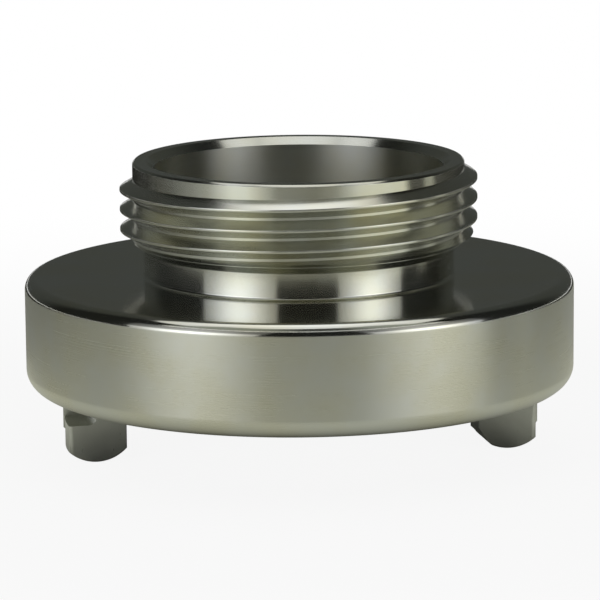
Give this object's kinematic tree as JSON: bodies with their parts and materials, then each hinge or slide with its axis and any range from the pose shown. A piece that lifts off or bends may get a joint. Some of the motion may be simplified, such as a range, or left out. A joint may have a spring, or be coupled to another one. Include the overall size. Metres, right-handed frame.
{
  "type": "storz hose adapter",
  "caption": "Turned metal hose adapter with a male hose thread on a neck above a round flange, and a Storz half with hooked lugs, ledge and rubber seal below.",
  "frame": {"origin": "on the adapter's axis, at the level of the two lug tips that it stands on", "axes": "+Z along the axis towards the threaded end; X through the two lugs"},
  "size_m": [0.0778, 0.0778, 0.042],
  "materials": {
    "machined_steel": "turned, with fine tool marks, bright on the nipple and flange top and satin on the flange's side",
    "seal_rubber": "matte black moulded rubber"
  },
  "bodies": {
    "root": {"adapter_body": "machined_steel", "storz_seal": "seal_rubber"}
  },
  "joints": []
}
